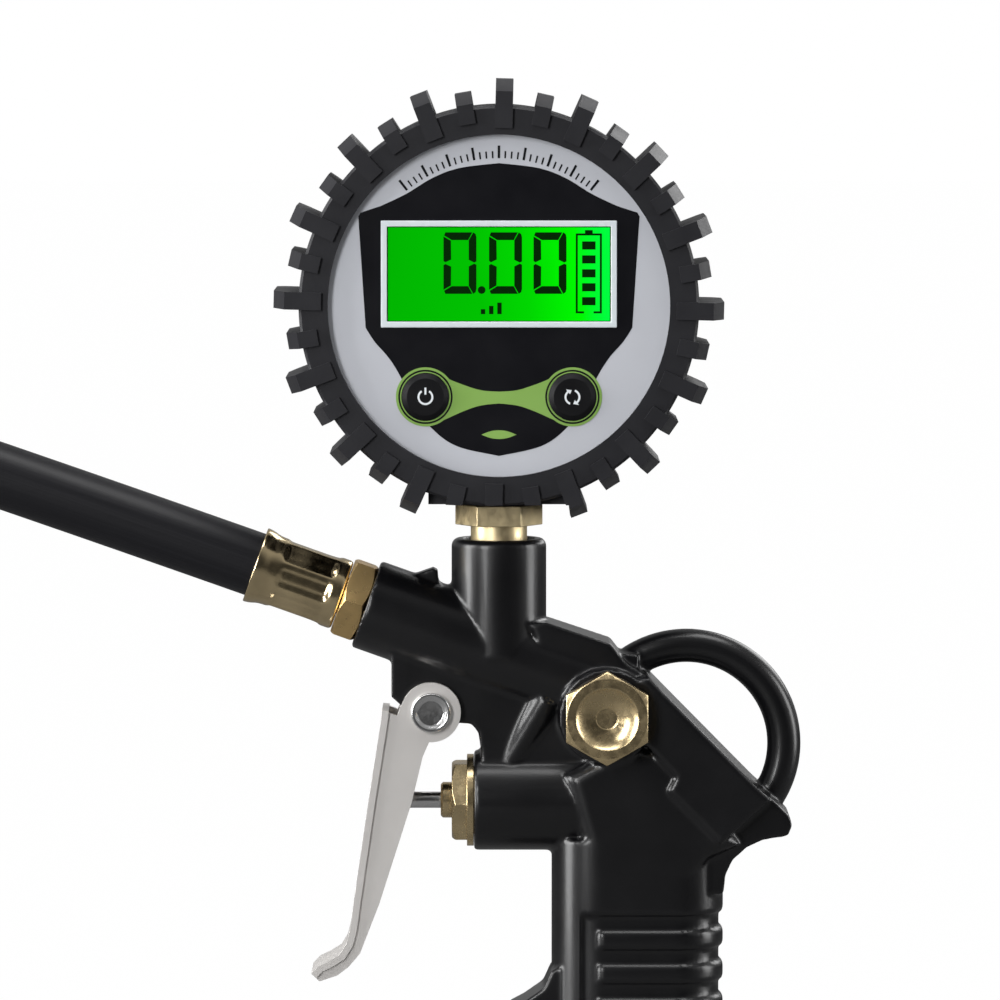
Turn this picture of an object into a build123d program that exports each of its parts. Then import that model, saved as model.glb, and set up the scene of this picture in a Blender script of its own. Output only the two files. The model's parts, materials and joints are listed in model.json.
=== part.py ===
from build123d import *
import math
import os

# Pistol-grip tyre inflator with a digital gauge, in millimetres.
# +X runs from the trigger towards the grip's back, +Z up, and the gauge faces -Y.
# The origin is the tip of the air-line plug under the grip.

# --- driving dimensions -------------------------------------------------------

HEX_SMALL = 14.0                  # across flats of the brass fittings
FIT = 0.05                        # radial running clearance

# grip
GRIP_DEPTH = 31.7
GRIP_WIDTH = 20.0
GRIP_CORNER = 9.0
GRIP_BOTTOM = 28.0
GRIP_TOP = 112.0
RIB_PITCH = 6.27
RIB_HEIGHT = 3.05
RIB_DEPTH = 0.8
RIB_PANEL_BOTTOM = 35.6
RIB_PANEL_TOP = 98.3
RIB_PANEL_FRONT = -10.5
RIB_FRONT = -7.1

# head above the grip
HEAD_HALF = GRIP_WIDTH / 2
HEAD_ROUND = 2.6
PAD_HALF = HEAD_HALF + 0.8

# valve, along X
VALVE_Z = 118.6
VALVE_BOSS_RADIUS = 9.25
VALVE_FACE_X = -30.2
CHAMBER_RADIUS = 5.5
CHAMBER_END_X = 11.0
GLAND_BORE_RADIUS = 6.3
GLAND_BORE_END_X = -19.0
SEAT_X = (-5.0, -1.0)
SEAT_GAP = 0.02
STEM_RADIUS = 1.5
STEM_TIP_X = -48.3

# trigger and its pivot
PIVOT = (-38.1, 135.5)
PIVOT_PIN_RADIUS = 1.75
LUG_WIDTH = 11.0
TRIGGER_WIDTH = 14.0
SHEET = 1.25
EAR_RADIUS = 5.5

# tower and gauge
TOWER_X = -25.6
TOWER_RADIUS = 8.75
TOWER_ROOT = 145.5
TOWER_TOP = 167.2
GAUGE_Z = 210.6
BOOT_FOOT_Z = GAUGE_Z - 36.3
FACE_RADIUS = 31.2
CASE_RADIUS = 32.8
BOOT_RADIUS = 36.5
BOOT_FRONT = -14.9
BOOT_BACK = 13.0
FACE_PLATE = (-13.5, -11.9)       # front and back of the face plate, in Y
CASE_BACK = 11.0
TOOTH_COUNT = 32
TOOTH_FIRST = 1.5                 # degrees clockwise from the top
DISPLAY_Z = GAUGE_Z + 5.8
LCD_FRAME = (43.0, 19.5)
LCD_GLASS = (40.8, 17.3)
BUTTON_SPACING = 26.8
BUTTON_Z = GAUGE_Z - 16.6
BUTTON_RADIUS = 4.3
DOOR_SCREW_REACH = 20.6

# hose barrel
BARREL_FACE = (-50.1, 155.0)
BARREL_RISE = 19.6                # degrees above horizontal, leaving to the left
BARREL_RADIUS = 8.4
BARREL_LENGTH = 49.0
AIR_BORE_RADIUS = 2.6

# side plug and the cross gallery behind it
PLUG = (-5.8, 135.0)
PLUG_BOSS_RADIUS = 8.7
PLUG_BOSS_FACE = -10.5
PLUG_HEX = 15.0
GALLERY_RADIUS = 5.4

# hanging loop
LOOP_CENTRE = (9.0, 129.2)
LOOP_RADIUS = 18.1
LOOP_ROD = 3.1

# air inlet thread and plug
INLET_THREAD_RADIUS = 6.5
INLET_THREAD_DEPTH = 12.0
PASSAGE_X = 2.0

# hose
HOSE_RADIUS = 6.0
HOSE_BORE = 3.2
HOSE_START = 5.7                  # from the barrel's end face
HOSE_RUNS = [(160.4, 62.0), (161.6, 75.0), (200.0, 90.0), (240.0, 90.0), (270.0, 85.0)]
FERRULE_LENGTH = 17.0

# tyre chuck
TYRE_VALVE_RADIUS = 4.1
CHUCK_RADIUS = 9.0


# --- helpers ------------------------------------------------------------------

def outline(*points):
    """A flat face in the X-Z plane from a closed list of points."""
    return Plane.XZ * make_face(Polyline(*points, close=True))


def slab(points, half_width):
    """A plate of the given outline, centred on the mid-plane."""
    return extrude(outline(*points), amount=half_width, both=True)


def block(x, y, z):
    """A box from (low, high) pairs along each axis."""
    size = [pair[1] - pair[0] for pair in (x, y, z)]
    middle = [(pair[0] + pair[1]) / 2 for pair in (x, y, z)]
    return Pos(*middle) * Box(*size)


def rod(radius, low, high):
    """A cylinder along Z from low to high."""
    return Pos(0, 0, (low + high) / 2) * Cylinder(radius, high - low)


def tube(outer, inner, low, high):
    return rod(outer, low, high) - rod(inner, low - 1, high + 1)


def hexagon(across_flats, low, high, turn=0.0):
    """A hexagonal prism along Z."""
    flat = RegularPolygon(across_flats / 2, 6, major_radius=False, rotation=turn)
    return Pos(0, 0, low) * extrude(flat, amount=high - low)


def chamfered_hexagon(across_flats, low, high, turn=0.0, at_low=True, at_high=True):
    """A hexagon with turned corners, as cut from bar."""
    corner = across_flats / math.sqrt(3) + 0.1
    flat = across_flats / 2 - 0.15
    drop = (corner - flat) * math.tan(math.radians(30))
    start = (flat, low) if at_low else (corner, low)
    end = (flat, high) if at_high else (corner, high)
    profile = [(0, low), start]
    if at_low:
        profile.append((corner, low + drop))
    if at_high:
        profile.append((corner, high - drop))
    profile += [end, (0, high)]
    return hexagon(across_flats, low, high, turn) & turned(*profile)


def turned(*profile):
    """A solid of revolution about Z from (radius, height) points."""
    return revolve(outline(*profile), Axis.Z)


def along_y(x, z):
    """A frame whose Z is world +Y, standing at x, z on the mid-plane."""
    return Plane(origin=(x, 0, z), x_dir=(1, 0, 0), z_dir=(0, 1, 0)).location


def along_x(z):
    """A frame whose Z is world +X, at height z."""
    return Plane(origin=(0, 0, z), x_dir=(0, 1, 0), z_dir=(1, 0, 0)).location


def heading(degrees):
    angle = math.radians(degrees)
    return (math.cos(angle), math.sin(angle))


def spring(radius, wire, low, high, turns):
    """A compression spring along Z with its ends at low and high."""
    pitch = (high - low - 2 * wire) / turns
    path = Helix(pitch=pitch, height=high - low - 2 * wire, radius=radius)
    start = path @ 0
    section = Plane(origin=start, z_dir=path % 0) * Circle(wire)
    return Pos(0, 0, low + wire) * sweep(section, path=path)


def ring(radius, section, height):
    """An O-ring about Z."""
    return Pos(0, 0, height) * Torus(radius, section)


VALVE = along_x(VALVE_Z)
GAUGE = along_y(TOWER_X, GAUGE_Z)
STEM = Pos(TOWER_X, 0, 0)
BARREL_DIRECTION = heading(180 - BARREL_RISE)
BARREL = Plane(
    origin=(BARREL_FACE[0], 0, BARREL_FACE[1]),
    x_dir=(0, 1, 0),
    z_dir=(BARREL_DIRECTION[0], 0, BARREL_DIRECTION[1]),
).location

# The hose's route: runs of (heading, length) from the barrel.
ROUTE = [(
    BARREL_FACE[0] + HOSE_START * BARREL_DIRECTION[0],
    BARREL_FACE[1] + HOSE_START * BARREL_DIRECTION[1],
)]
for turn, length in HOSE_RUNS:
    step = heading(turn)
    ROUTE.append((ROUTE[-1][0] + length * step[0], ROUTE[-1][1] + length * step[1]))
HOSE_END = ROUTE[-1]
CHUCK = Plane(origin=(HOSE_END[0], 0, HOSE_END[1]), x_dir=(1, 0, 0), z_dir=(0, 0, -1)).location


# --- body casting ---------------------------------------------------------------

def grip():
    section = RectangleRounded(GRIP_DEPTH, GRIP_WIDTH, GRIP_CORNER)
    inner = RectangleRounded(
        GRIP_DEPTH - 2 * RIB_DEPTH, GRIP_WIDTH - 2 * RIB_DEPTH, GRIP_CORNER - RIB_DEPTH)
    solid = Pos(0, 0, GRIP_BOTTOM) * extrude(section, amount=GRIP_TOP - GRIP_BOTTOM)
    skin = Pos(0, 0, RIB_PANEL_BOTTOM) * extrude(
        section - inner, amount=RIB_PANEL_TOP - RIB_PANEL_BOTTOM)
    reach = GRIP_DEPTH
    panel = skin & block((RIB_PANEL_FRONT, reach), (-reach, reach), (RIB_PANEL_BOTTOM, RIB_PANEL_TOP))
    solid -= panel
    rib_top = RIB_PANEL_TOP - (RIB_PITCH - RIB_HEIGHT)
    while rib_top - RIB_HEIGHT > RIB_PANEL_BOTTOM + 2:
        solid += skin & block((RIB_FRONT, reach), (-reach, reach), (rib_top - RIB_HEIGHT, rib_top))
        rib_top -= RIB_PITCH
    spur = slab([(-12, 89), (-15.9, 87.6), (-17.4, 84.3), (-20.8, 81.9), (-23.6, 80.4), (-24.4, 78.6),
                 (-23.4, 76.8), (-19.0, 74.4), (-16.6, 71.6), (-15.4, 67), (-12, 66)], 6.5)
    foot = Pos(0, 0, GRIP_BOTTOM) * extrude(
        RectangleRounded(GRIP_DEPTH + 1.6, GRIP_WIDTH + 1.6, GRIP_CORNER + 0.8), amount=4.5)
    return solid + spur + foot


def upper_body():
    """The web, head and diagonal pads that join grip, valve boss, tower and hanging loop."""
    web = slab([(-45.4, 138.2), (-43.6, 136.6), (-42.4, 134.6), (-33.8, 133.4), (-30.6, 133.2),
                (-29.4, 131.6), (-28.8, 127.7), (-28.8, 118), (8, 118), (8, 126), (0, 136), (0, 146), (-45.4, 150)],
               LUG_WIDTH / 2)
    knuckle = along_y(*PIVOT) * rod(EAR_RADIUS - 0.6, -LUG_WIDTH / 2, LUG_WIDTH / 2)
    shoulder = slab([(-20, 152), (-16.7, 152.1), (-5.0, 148.2), (-2.2, 144.6), (1.9, 142.2),
                     (6, 137), (-2, 132), (-16, 144)], 7.4)
    head = slab([(-9.5, 109.6), (-6.0, 103), (9.0, 103), (13.0, 108.5), (19.0, 111.2), (8.4, 124.3),
                 (4.5, 128.6), (-3, 129.6), (-13.5, 124)], HEAD_HALF)
    faces = head.faces().sort_by(Axis.Y)
    head = fillet(faces[0].edges() + faces[-1].edges(), HEAD_ROUND)
    pad = slab([(-3.5, 141.5), (1.9, 142.2), (21.4, 122.4), (24.3, 119.8), (15.2, 111.6), (5.6, 121.3),
                (7.0, 123.9), (1.6, 129.6)], PAD_HALF)
    horn = slab([(12, 128), (21.4, 122.4), (25.4, 118.9), (27.9, 116.4), (28.4, 114.6), (27.6, 112.7),
                 (23.1, 112.0), (20.0, 110.6), (17.4, 108.2), (16.1, 105.4), (15.8, 102), (8, 102)], 7.6)
    return web + knuckle + shoulder + head + pad + horn


def body_casting():
    solid = grip() + upper_body()
    solid += VALVE * rod(VALVE_BOSS_RADIUS, VALVE_FACE_X, 8)
    barrel_end = -BARREL_LENGTH
    solid += BARREL * turned((0, barrel_end), (BARREL_RADIUS - 3.4, barrel_end),
                             (BARREL_RADIUS, barrel_end + 3.4), (BARREL_RADIUS, 0), (0, 0))
    tower = turned((0, TOWER_ROOT), (TOWER_RADIUS, TOWER_ROOT), (TOWER_RADIUS, TOWER_TOP - 0.8),
                   (TOWER_RADIUS - 0.8, TOWER_TOP), (0, TOWER_TOP))
    solid += STEM * tower
    solid += slab([(-42.8, 158), (-41.6, 160.4), (-37.6, 161.8), (-36.9, 161.3), (-36.6, 156)], 2.2)
    # the cast swelling over the slanting air passage
    for side in (-1, 1):
        ridge_start = Vector(-16.6, side * 5.0, 138.0)
        ridge_end = Vector(-24.0, side * 3.0, 125.4)
        ridge = Plane(origin=ridge_end, z_dir=ridge_start - ridge_end).location
        solid += ridge * rod(2.7, 0, (ridge_start - ridge_end).length)
    solid += along_y(*PLUG) * rod(PLUG_BOSS_RADIUS, PLUG_BOSS_FACE, 8.6)
    solid -= along_y(*PLUG) * rod(PLUG_BOSS_RADIUS + 0.3, -20, PLUG_BOSS_FACE)
    solid += along_y(*LOOP_CENTRE) * Torus(LOOP_RADIUS, LOOP_ROD)

    # air passages
    solid -= rod(INLET_THREAD_RADIUS, GRIP_BOTTOM - 1, GRIP_BOTTOM + INLET_THREAD_DEPTH)
    solid -= Pos(PASSAGE_X, 0, 0) * rod(3.0, GRIP_BOTTOM + INLET_THREAD_DEPTH - 1, VALVE_Z)
    solid -= VALVE * rod(CHAMBER_RADIUS, VALVE_FACE_X - 1, CHAMBER_END_X)
    solid -= VALVE * rod(GLAND_BORE_RADIUS, VALVE_FACE_X - 1, GLAND_BORE_END_X)
    solid -= Pos(PLUG[0] - 3, 0, 0) * rod(2.2, VALVE_Z, PLUG[1])
    solid -= along_y(*PLUG) * rod(GALLERY_RADIUS, PLUG_BOSS_FACE - 1, 3)
    solid -= BARREL * rod(AIR_BORE_RADIUS, -45, 1)
    solid -= BARREL * rod(4.9, -12, 1)
    solid -= STEM * rod(2.6, 147, TOWER_TOP)
    solid -= STEM * rod(5.2, TOWER_TOP - 11.6, TOWER_TOP + 1)
    solid -= STEM * rod(6.7, TOWER_TOP - 1.6, TOWER_TOP + 1)
    solid -= along_y(*PIVOT) * rod(PIVOT_PIN_RADIUS, -LUG_WIDTH, LUG_WIDTH)
    return solid


# --- air inlet ------------------------------------------------------------------

def inlet_plug():
    """Quick-release air-line plug with a tapered thread into the grip."""
    top = GRIP_BOTTOM + 9.5
    shape = turned((2.4, 0), (3.95, 0), (3.95, 9.0), (2.95, 10.2), (2.95, 12.6),
                   (3.95, 13.8), (5.6, 15.0), (5.6, 17.6), (4.8, 18.6), (4.8, 20.5),
                   (6.0, 20.5), (6.0, GRIP_BOTTOM - 1.2), (INLET_THREAD_RADIUS, GRIP_BOTTOM - 1.2),
                   (INLET_THREAD_RADIUS, top), (3.2, top), (3.2, 22), (2.4, 21))
    nut = chamfered_hexagon(17, 20.0, GRIP_BOTTOM - 1.2) - rod(4.0, 19, GRIP_BOTTOM)
    return shape + nut


def inlet_seal():
    return tube(8.6, INLET_THREAD_RADIUS, GRIP_BOTTOM - 1.2, GRIP_BOTTOM)


def inlet_screen():
    """A domed gauze strainer above the plug."""
    base = GRIP_BOTTOM + 9.5
    return turned((4.2, base), (5.8, base), (5.8, base + 0.8), (3.0, base + 2.3), (0, base + 2.3),
                  (0, base + 1.5), (2.6, base + 1.5), (4.2, base + 0.8))


# --- valve ------------------------------------------------------------------------

def valve_gland_nut():
    flange = VALVE_FACE_X - 0.05
    shape = turned((2.6, -34.3), (3.5, -34.3), (3.5, -31.5), (8.5, -31.5), (8.5, flange),
                   (GLAND_BORE_RADIUS, flange), (GLAND_BORE_RADIUS, -20.5), (5.4, -20.5),
                   (5.4, -16.0), (STEM_RADIUS + FIT, -16.0), (STEM_RADIUS + FIT, -26.0),
                   (3.2, -26.0), (3.2, -34.0), (2.6, -34.0))
    nut = chamfered_hexagon(HEX_SMALL, -34.3, -31.4, at_high=False) - rod(3.3, -40, -30)
    return VALVE * (shape + nut)


def gland_seal():
    return VALVE * tube(GLAND_BORE_RADIUS, 5.4, -20.5, GLAND_BORE_END_X)


def stem_bush():
    bore = STEM_RADIUS + FIT
    return VALVE * turned((bore, -36.35), (2.9, -36.35), (3.3, -35.95), (3.3, -34.35),
                          (2.55, -34.35), (2.55, -34.0), (3.2, -34.0), (3.2, -28.0), (bore, -28.0))


def stem_o_ring():
    section = (3.2 - STEM_RADIUS) / 2 - 0.03
    return VALVE * ring((3.2 + STEM_RADIUS) / 2, section, -27.0)


def valve_spacer():
    """Ported sleeve that holds the seat against its shoulder."""
    sleeve = tube(CHAMBER_RADIUS - 0.04, 4.0, -15.95, SEAT_X[0] - 0.02)
    port_x = PLUG[0] - 3
    for turn in range(4):
        sleeve -= Rot(0, 0, 90 * turn) * Pos(0, 0, port_x) * Rot(0, 90, 0) * rod(2.0, 2, 8)
    return VALVE * sleeve


def valve_seat():
    return VALVE * turned((2.6, SEAT_X[0]), (CHAMBER_RADIUS, SEAT_X[0]), (CHAMBER_RADIUS, SEAT_X[1]),
                          (3.6, SEAT_X[1]), (2.6, SEAT_X[1] - 1.0))


def valve_stem():
    return VALVE * turned((0, STEM_TIP_X), (1.1, STEM_TIP_X), (STEM_RADIUS, STEM_TIP_X + 0.4),
                          (STEM_RADIUS, SEAT_X[1] + SEAT_GAP), (1.0, SEAT_X[1] + SEAT_GAP),
                          (1.0, SEAT_X[1] + 3.2), (0, SEAT_X[1] + 3.2))


def poppet_seal():
    return VALVE * tube(4.4, 1.0, SEAT_X[1] + SEAT_GAP, SEAT_X[1] + 1.4)


def valve_poppet():
    base = SEAT_X[1] + 1.4
    return VALVE * turned((1.0, base), (4.4, base), (4.4, base + 1.2), (2.2, base + 1.2),
                          (2.2, base + 2.6), (0, base + 2.6), (0, SEAT_X[1] + 3.2), (1.0, SEAT_X[1] + 3.2))


def valve_spring():
    start = SEAT_X[1] + 2.6
    return VALVE * spring(3.3, 0.4, start, CHAMBER_END_X, 5)


# --- side plug ----------------------------------------------------------------------

def side_plug():
    face = PLUG_BOSS_FACE - 0.8
    front = face - 3.4
    head = chamfered_hexagon(PLUG_HEX, front, face, turn=30, at_high=False)
    dish = turned((0, front + 1.7), (1.9, front + 1.7), (2.1, front + 1.55), (3.2, front + 1.4),
                  (4.3, front + 1.05), (5.2, front + 0.5), (5.9, front - 0.1), (5.9, front - 1), (0, front - 1))
    shank = rod(GALLERY_RADIUS, face, PLUG_BOSS_FACE + 5.5)
    return along_y(*PLUG) * (head + shank - dish)


def side_plug_seal():
    return along_y(*PLUG) * tube(7.6, GALLERY_RADIUS, PLUG_BOSS_FACE - 0.8, PLUG_BOSS_FACE)


# --- trigger ------------------------------------------------------------------------

TRIGGER_BACK = [(-47.1, 135.9), (-47.3, 134.0), (-49.7, 118.7), (-52.4, 100.2), (-53.0, 95.6),
                (-53.7, 92.8), (-54.9, 90.8), (-57.0, 89.5), (-58.9, 88.6), (-60.2, 87.2)]


def inner_line(points, depth):
    """The same line moved sideways by depth, towards the grip."""
    moved = []
    for index, point in enumerate(points):
        before = points[max(index - 1, 0)]
        after = points[min(index + 1, len(points) - 1)]
        run = (after[0] - before[0], after[1] - before[1])
        size = math.hypot(*run)
        moved.append((point[0] - depth * run[1] / size, point[1] + depth * run[0] / size))
    return moved


def trigger():
    half = TRIGGER_WIDTH / 2
    side = TRIGGER_BACK + [(-58.7, 85.7), (-55.4, 86.8), (-53.3, 88.4), (-51.2, 90.9), (-49.6, 95.0),
                           (-47.6, 100.2), (-41.7, 118.7), (-39.6, 127.4), (-38.4, 130.1), PIVOT,
                           (-43.3, 137.4), (-44.4, 134.9)]
    cheek = slab(side, half) + along_y(*PIVOT) * rod(EAR_RADIUS, -half, half)
    cheeks = cheek - block((-80, 0), (-half + SHEET, half - SHEET), (60, 160))
    web = slab(TRIGGER_BACK + inner_line(TRIGGER_BACK, SHEET)[::-1], half + 0.5)
    solid = cheeks + web
    solid -= along_y(*PIVOT) * rod(PIVOT_PIN_RADIUS + FIT, -10, 10)
    return solid


def trigger_rivet():
    half = TRIGGER_WIDTH / 2 + FIT
    shank = rod(PIVOT_PIN_RADIUS, -half - 0.4, half + 0.4)
    head = turned((0, 0.5), (2.3, 0.55), (3.1, 1.1), (3.5, 1.1), (3.7, 0.7), (3.7, 0), (0, 0))
    solid = shank + Pos(0, 0, half) * head + Pos(0, 0, -half) * Rot(180, 0, 0) * head
    return along_y(*PIVOT) * solid


# --- gauge --------------------------------------------------------------------------

def gauge_boot():
    """Rubber boot: a toothed ring round the case with a flat foot over the stem."""
    shell = turned((FACE_RADIUS, BOOT_FRONT), (BOOT_RADIUS - 0.5, BOOT_FRONT),
                   (BOOT_RADIUS, BOOT_FRONT + 0.5), (BOOT_RADIUS, BOOT_BACK - 2), (BOOT_RADIUS - 2, BOOT_BACK),
                   (26, BOOT_BACK), (26, CASE_BACK), (CASE_RADIUS, CASE_BACK),
                   (CASE_RADIUS, FACE_PLATE[0]), (FACE_RADIUS, FACE_PLATE[0]))
    solid = GAUGE * shell
    foot = block((TOWER_X - 12.9, TOWER_X + 12.9), (-12.6, 11.5), (BOOT_FOOT_Z, GAUGE_Z - 30))
    solid += foot - GAUGE * rod(CASE_RADIUS, -20, CASE_BACK)
    front = BOOT_FRONT - 0.6
    for index in range(TOOTH_COUNT):
        long_tooth = index % 2 == 0
        tip = 41.2 if long_tooth else 39.2
        start = 32.4 if long_tooth else 33.5
        width = 3.2 if long_tooth else 3.0
        profile = [(front, start), (front, tip - 2.1), (front + 6, tip), (10.4, tip), (11.8, tip - 1.4),
                   (11.8, 34.5), (FACE_PLATE[0] - 0.3, 34.5), (FACE_PLATE[0] - 0.3, start)]
        blade = extrude(Plane.YZ * make_face(Polyline(*profile, close=True)), amount=width / 2, both=True)
        angle = TOOTH_FIRST + index * 360 / TOOTH_COUNT
        solid += Pos(TOWER_X, 0, GAUGE_Z) * Rot(0, angle, 0) * blade
    solid -= block((TOWER_X - 13, TOWER_X + 13), (-20, 20), (GAUGE_Z - 45, BOOT_FOOT_Z))
    solid -= STEM * rod(5.0, GAUGE_Z - 45, GAUGE_Z - 25)
    return solid


def gauge_case():
    cup = turned((0, CASE_BACK - 2), (CASE_RADIUS - 2, CASE_BACK - 2), (CASE_RADIUS - 2, -9.6),
                 (CASE_RADIUS, -9.6), (CASE_RADIUS, CASE_BACK), (0, CASE_BACK))
    solid = GAUGE * cup
    floor = STEM * block((-8, 8), (-8.5, 8.5), (GAUGE_Z - 31.6, GAUGE_Z - 29.0))
    solid += floor & GAUGE * rod(CASE_RADIUS, -9.6, CASE_BACK)
    for x, z in case_screw_places():
        solid += along_y(x, z) * rod(2.6, -9.6, CASE_BACK - 1)
        solid -= along_y(x, z) * rod(1.1, -10, 0)
    solid -= block((TOWER_X - 23.6, TOWER_X + 23.6), (CASE_BACK - 3, CASE_BACK + 1),
                   (GAUGE_Z - 12.6, GAUGE_Z + 12.6))
    solid -= STEM * rod(4.8, GAUGE_Z - 45, GAUGE_Z - 26)
    for side in (-1, 1):
        tab = [TOWER_X + side * 18.6, TOWER_X + side * 24.6]
        solid += block(sorted(tab), (CASE_BACK - 3.1, CASE_BACK - 1.85), (GAUGE_Z - 3, GAUGE_Z + 3))
        solid -= along_y(TOWER_X + side * DOOR_SCREW_REACH, GAUGE_Z) * rod(1.15, 0, 20)
    return solid


def case_screw_places():
    """Four screws round the case, clear of the display and the buttons."""
    reach = 27.4
    return [(TOWER_X + reach * math.sin(math.radians(a)), GAUGE_Z + reach * math.cos(math.radians(a)))
            for a in (35, 125, 235, 325)]


def case_seal():
    return GAUGE * tube(CASE_RADIUS, CASE_RADIUS - 2, FACE_PLATE[1], -9.6)


def face_plate():
    plate = GAUGE * rod(CASE_RADIUS, *FACE_PLATE)
    half_x = LCD_FRAME[0] / 2 - 1.1
    half_z = LCD_FRAME[1] / 2 - 1.1
    plate -= block((TOWER_X - half_x, TOWER_X + half_x), (-20, 0), (DISPLAY_Z - half_z, DISPLAY_Z + half_z))
    for x in button_places():
        plate -= along_y(x, BUTTON_Z) * rod(BUTTON_RADIUS + 0.2, -20, 0)
    return plate


def button_places():
    return [TOWER_X - BUTTON_SPACING / 2, TOWER_X + BUTTON_SPACING / 2]


def case_screws():
    return [along_y(x, z) * (rod(1.1, -9.6, -2) + rod(2.1, FACE_PLATE[1], -9.6))
            for x, z in case_screw_places()]


def lcd_frame():
    front = FACE_PLATE[0] - 0.5
    half = [(LCD_FRAME[0] / 2, LCD_FRAME[1] / 2), (LCD_GLASS[0] / 2, LCD_GLASS[1] / 2)]
    outer = block((-half[0][0], half[0][0]), (front, FACE_PLATE[0]), (-half[0][1], half[0][1]))
    hole = block((-half[1][0], half[1][0]), (-20, 0), (-half[1][1], half[1][1]))
    return Pos(TOWER_X, 0, DISPLAY_Z) * (outer - hole)


def lcd_glass():
    half_x = LCD_FRAME[0] / 2 - 1.1
    half_z = LCD_FRAME[1] / 2 - 1.1
    plate = block((-half_x, half_x), (FACE_PLATE[0], FACE_PLATE[1]), (-half_z, half_z))
    return Pos(TOWER_X, 0, DISPLAY_Z) * plate


def backlight():
    plate = block((-19.5, 19.5), (FACE_PLATE[1], -9.4), (-8.4, 8.4))
    return Pos(TOWER_X, 0, DISPLAY_Z) * plate


def circuit_board():
    board = GAUGE * rod(24.5, -8.4, -6.8)
    carrier = block((TOWER_X - 18, TOWER_X + 18), (-9.4, -8.4), (DISPLAY_Z - 8, DISPLAY_Z + 8))
    return board + carrier


def button(index):
    """A domed cap with a stem that reaches its switch."""
    front = FACE_PLATE[0] - 0.9
    cap = turned((0, front), (BUTTON_RADIUS - 0.9, front), (BUTTON_RADIUS, front + 0.6),
                 (BUTTON_RADIUS, FACE_PLATE[1] + 0.1), (1.5, FACE_PLATE[1] + 0.1),
                 (1.5, -10.55), (0, -10.55))
    return along_y(button_places()[index], BUTTON_Z) * cap


def button_switches():
    return [block((x - 3, x + 3), (-9.9, -8.4), (BUTTON_Z - 3, BUTTON_Z + 3)) for x in button_places()]


def pressure_sensor():
    can = rod(3.6, GAUGE_Z - 25.4, GAUGE_Z - 21.6)
    base = block((-5, 5), (-5, 5), (GAUGE_Z - 21.6, GAUGE_Z - 19.6))
    leads = [Pos(x, 0, 0) * block((-0.3, 0.3), (-6.8, -5), (GAUGE_Z - 20.9, GAUGE_Z - 20.3))
             for x in (-3, -1, 1, 3)]
    return STEM * (can + base + leads)


def sensor_gasket():
    return STEM * tube(3.6, 1.3, GAUGE_Z - 26.2, GAUGE_Z - 25.4)


def gauge_stem():
    """Brass stem: thread in the tower, neck, hexagon, thread into the case."""
    hex_low = 169.7
    pad = BOOT_FOOT_Z
    low = TOWER_TOP - 10
    top = GAUGE_Z - 26.2
    shape = turned((1.3, low), (5.2, low), (5.2, hex_low), (6.6, hex_low), (6.6, pad - 1.0),
                   (4.8, pad - 1.0), (4.8, GAUGE_Z - 27.4), (3.4, top), (1.3, top))
    nut = hexagon(HEX_SMALL, hex_low, pad - 0.8) - rod(4.0, 160, 180)
    return STEM * (shape + nut)


def gauge_stem_seal():
    """Rubber washer between the hexagon and the boot's foot."""
    pad = BOOT_FOOT_Z
    return STEM * tube(6.2, 4.8, pad - 0.8, pad)


def gauge_stem_nut():
    low = GAUGE_Z - 29.0
    return STEM * (hexagon(12.0, low, low + 1.6) - rod(4.8, low - 1, low + 4))


def batteries():
    """Two AAA cells side by side."""
    cells = []
    for offset, turn in ((6.2, 0), (-6.2, 180)):
        cell = rod(5.2, -22, 21.2) + rod(1.9, 21.2, 22)
        cells.append(Pos(TOWER_X, 2.6, GAUGE_Z + offset) * Rot(0, 90 + turn, 0) * cell)
    return cells


def battery_contacts():
    plates = []
    for side in (-1, 1):
        for offset in (6.2, -6.2):
            x = TOWER_X + side * 22.3
            plates.append(block((x - 0.25, x + 0.25), (-1.5, 6.7), (GAUGE_Z + offset - 4, GAUGE_Z + offset + 4)))
    return plates


def battery_door():
    plate = block((TOWER_X - 23.4, TOWER_X + 23.4), (CASE_BACK - 1.8, CASE_BACK),
                  (GAUGE_Z - 12.4, GAUGE_Z + 12.4))
    for x in door_screw_places():
        plate -= along_y(x, GAUGE_Z) * rod(1.2, 0, 20)
        plate -= along_y(x, GAUGE_Z) * rod(2.0, CASE_BACK - 1.0, 20)
    return plate


def door_screw_places():
    return [TOWER_X - DOOR_SCREW_REACH, TOWER_X + DOOR_SCREW_REACH]


def door_screws():
    screws = []
    for x in door_screw_places():
        screw = rod(1.15, CASE_BACK - 3.0, CASE_BACK - 1.0) + rod(1.9, CASE_BACK - 1.0, CASE_BACK - 0.1)
        slot = Pos(0, 0, CASE_BACK) * Box(3.0, 0.6, 0.8) + Pos(0, 0, CASE_BACK) * Box(0.6, 3.0, 0.8)
        screws.append(along_y(x, GAUGE_Z) * (screw - slot))
    return screws


# --- hose -----------------------------------------------------------------------------

def crimped_ferrule(low, high, collar):
    """Brass sleeve crimped flat on eight sides, with a bell mouth at its far end."""
    sleeve = turned((collar, low), (6.3, low), (6.65, low + 0.6), (6.65, high - 2.2), (7.0, high - 1.0),
                    (7.35, high), (6.45, high), (6.2, high - 1.2), (6.2, high - 3.0), (5.65, high - 4.0),
                    (5.65, low + 1.0), (collar, low + 1.0))
    flats = RegularPolygon(6.15, 8, major_radius=False)
    waste = Circle(12) - flats
    sleeve -= Pos(0, 0, low + 2.0) * extrude(waste, amount=high - low - 5.5)
    return sleeve


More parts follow.
